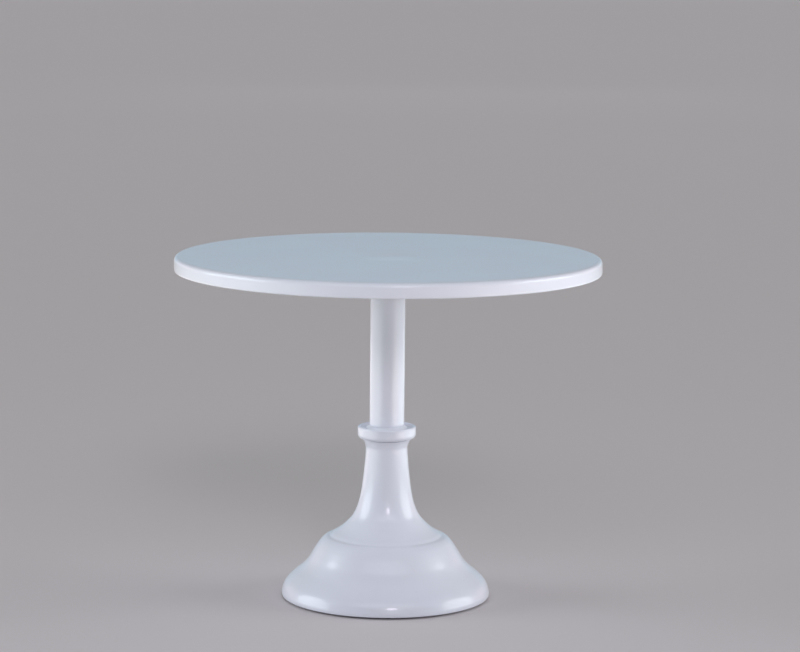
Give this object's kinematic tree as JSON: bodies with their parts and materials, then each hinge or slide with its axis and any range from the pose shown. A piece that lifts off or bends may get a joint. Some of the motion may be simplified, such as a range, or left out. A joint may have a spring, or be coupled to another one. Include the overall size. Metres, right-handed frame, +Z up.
{
  "type": "cake turntable",
  "caption": "Pedestal cake turntable: a flat round plate with a turned-down rim spins on a hidden ball bearing above a tubular stem, a collar and a bell-shaped base.",
  "frame": {"origin": "middle of the footprint, on the table under the rubber feet", "axes": "+Z up along the stem and the turning axis; +X to the right and +Y away from the front, by choice, because the object is round"},
  "size_m": [0.305, 0.305, 0.248],
  "materials": {
    "white_enamel": "glossy white baked enamel",
    "powder_coat": "satin pale powder coat",
    "cast_aluminium": "die-cast, lightly blasted",
    "bearing_steel": "ground and polished",
    "zinc_steel": "bright zinc plate",
    "bronze": "sintered, oiled",
    "cage_brass": "stamped",
    "black_rubber": "matt moulded",
    "white_silicone": "soft satin",
    "grey_felt": "pressed wool felt"
  },
  "bodies": {
    "stand": {"base_casting": "white_enamel", "base_cover": "powder_coat", "rubber_foot_1": "black_rubber", "rubber_foot_2": "black_rubber", "rubber_foot_3": "black_rubber", "rubber_foot_4": "black_rubber", "collar": "white_enamel", "stem_seal_ring": "white_silicone", "stem_tube": "white_enamel", "tie_rod": "zinc_steel", "tie_rod_washer": "zinc_steel", "tie_rod_spring_washer": "zinc_steel", "tie_rod_nut": "zinc_steel", "spindle": "bearing_steel", "bearing_lower_race": "bearing_steel", "spindle_washer": "zinc_steel", "spindle_lock_nut": "zinc_steel"},
    "ball_cage": {"bearing_cage": "cage_brass", "bearing_ball_1": "bearing_steel", "bearing_ball_2": "bearing_steel", "bearing_ball_3": "bearing_steel", "bearing_ball_4": "bearing_steel", "bearing_ball_5": "bearing_steel", "bearing_ball_6": "bearing_steel", "bearing_ball_7": "bearing_steel", "bearing_ball_8": "bearing_steel", "bearing_ball_9": "bearing_steel"},
    "turntable": {"plate": "white_enamel", "hub": "cast_aluminium", "hub_bush": "bronze", "bearing_upper_race": "bearing_steel", "hub_dust_seal": "grey_felt", "plate_stud_1": "zinc_steel", "plate_stud_2": "zinc_steel", "plate_stud_3": "zinc_steel", "plate_stud_4": "zinc_steel", "hub_washer_1": "zinc_steel", "hub_washer_2": "zinc_steel", "hub_washer_3": "zinc_steel", "hub_washer_4": "zinc_steel", "hub_nut_1": "zinc_steel", "hub_nut_2": "zinc_steel", "hub_nut_3": "zinc_steel", "hub_nut_4": "zinc_steel"}
  },
  "joints": [
    {"name": "plate_spin", "type": "hinge", "parent": "stand", "child": "turntable", "pos_m": [0, 0, 0.2314], "axis": [0, 0, 1], "continuous": true},
    {"name": "cage_spin", "type": "hinge", "parent": "stand", "child": "ball_cage", "pos_m": [0, 0, 0.2269], "axis": [0, 0, 1], "continuous": true}
  ],
  "couplings": [
    {"joint": "cage_spin", "follows": "plate_spin", "ratio": 0.5}
  ]
}
